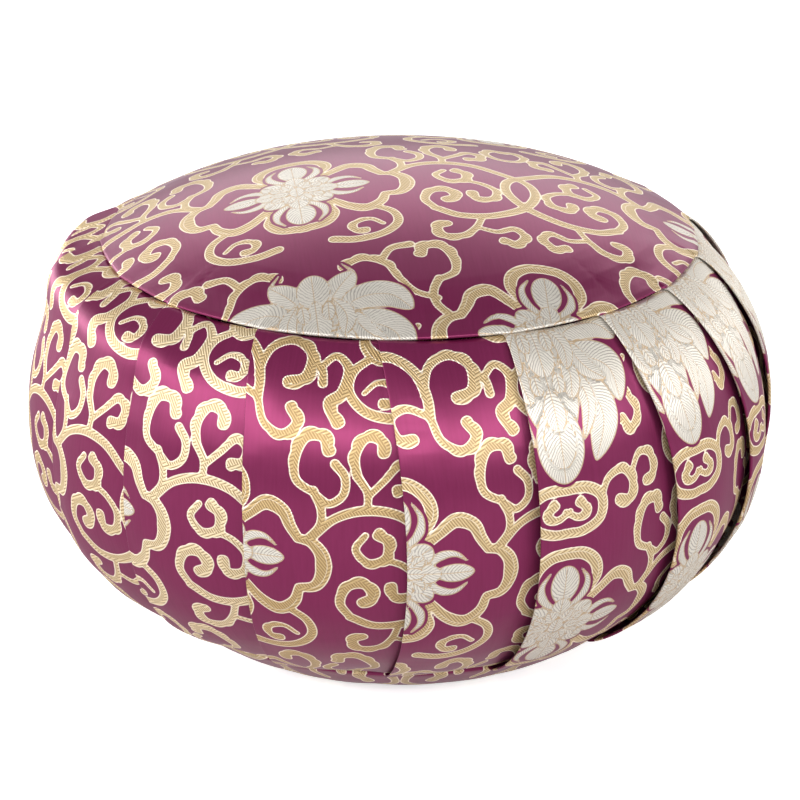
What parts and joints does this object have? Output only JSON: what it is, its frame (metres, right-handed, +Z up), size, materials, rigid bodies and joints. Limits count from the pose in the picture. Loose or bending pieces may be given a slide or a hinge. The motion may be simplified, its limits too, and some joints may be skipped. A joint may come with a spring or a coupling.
{
  "type": "round meditation cushion",
  "caption": "Round stuffed floor cushion for sitting meditation: a deep pleated side band between a domed round top panel and a flat-lying round bottom panel.",
  "frame": {"origin": "middle of the flat patch of the bottom panel, on the surface the cushion rests on", "axes": "+Z up through the middle of the cushion, -Y towards the front of the picture"},
  "size_m": [0.3281, 0.328, 0.2103],
  "materials": {
    "brocade": "satin woven brocade, plum with gold and silver figures"
  },
  "bodies": {
    "root": {"side_band": "brocade", "top_panel": "brocade", "bottom_panel": "brocade"}
  },
  "joints": []
}
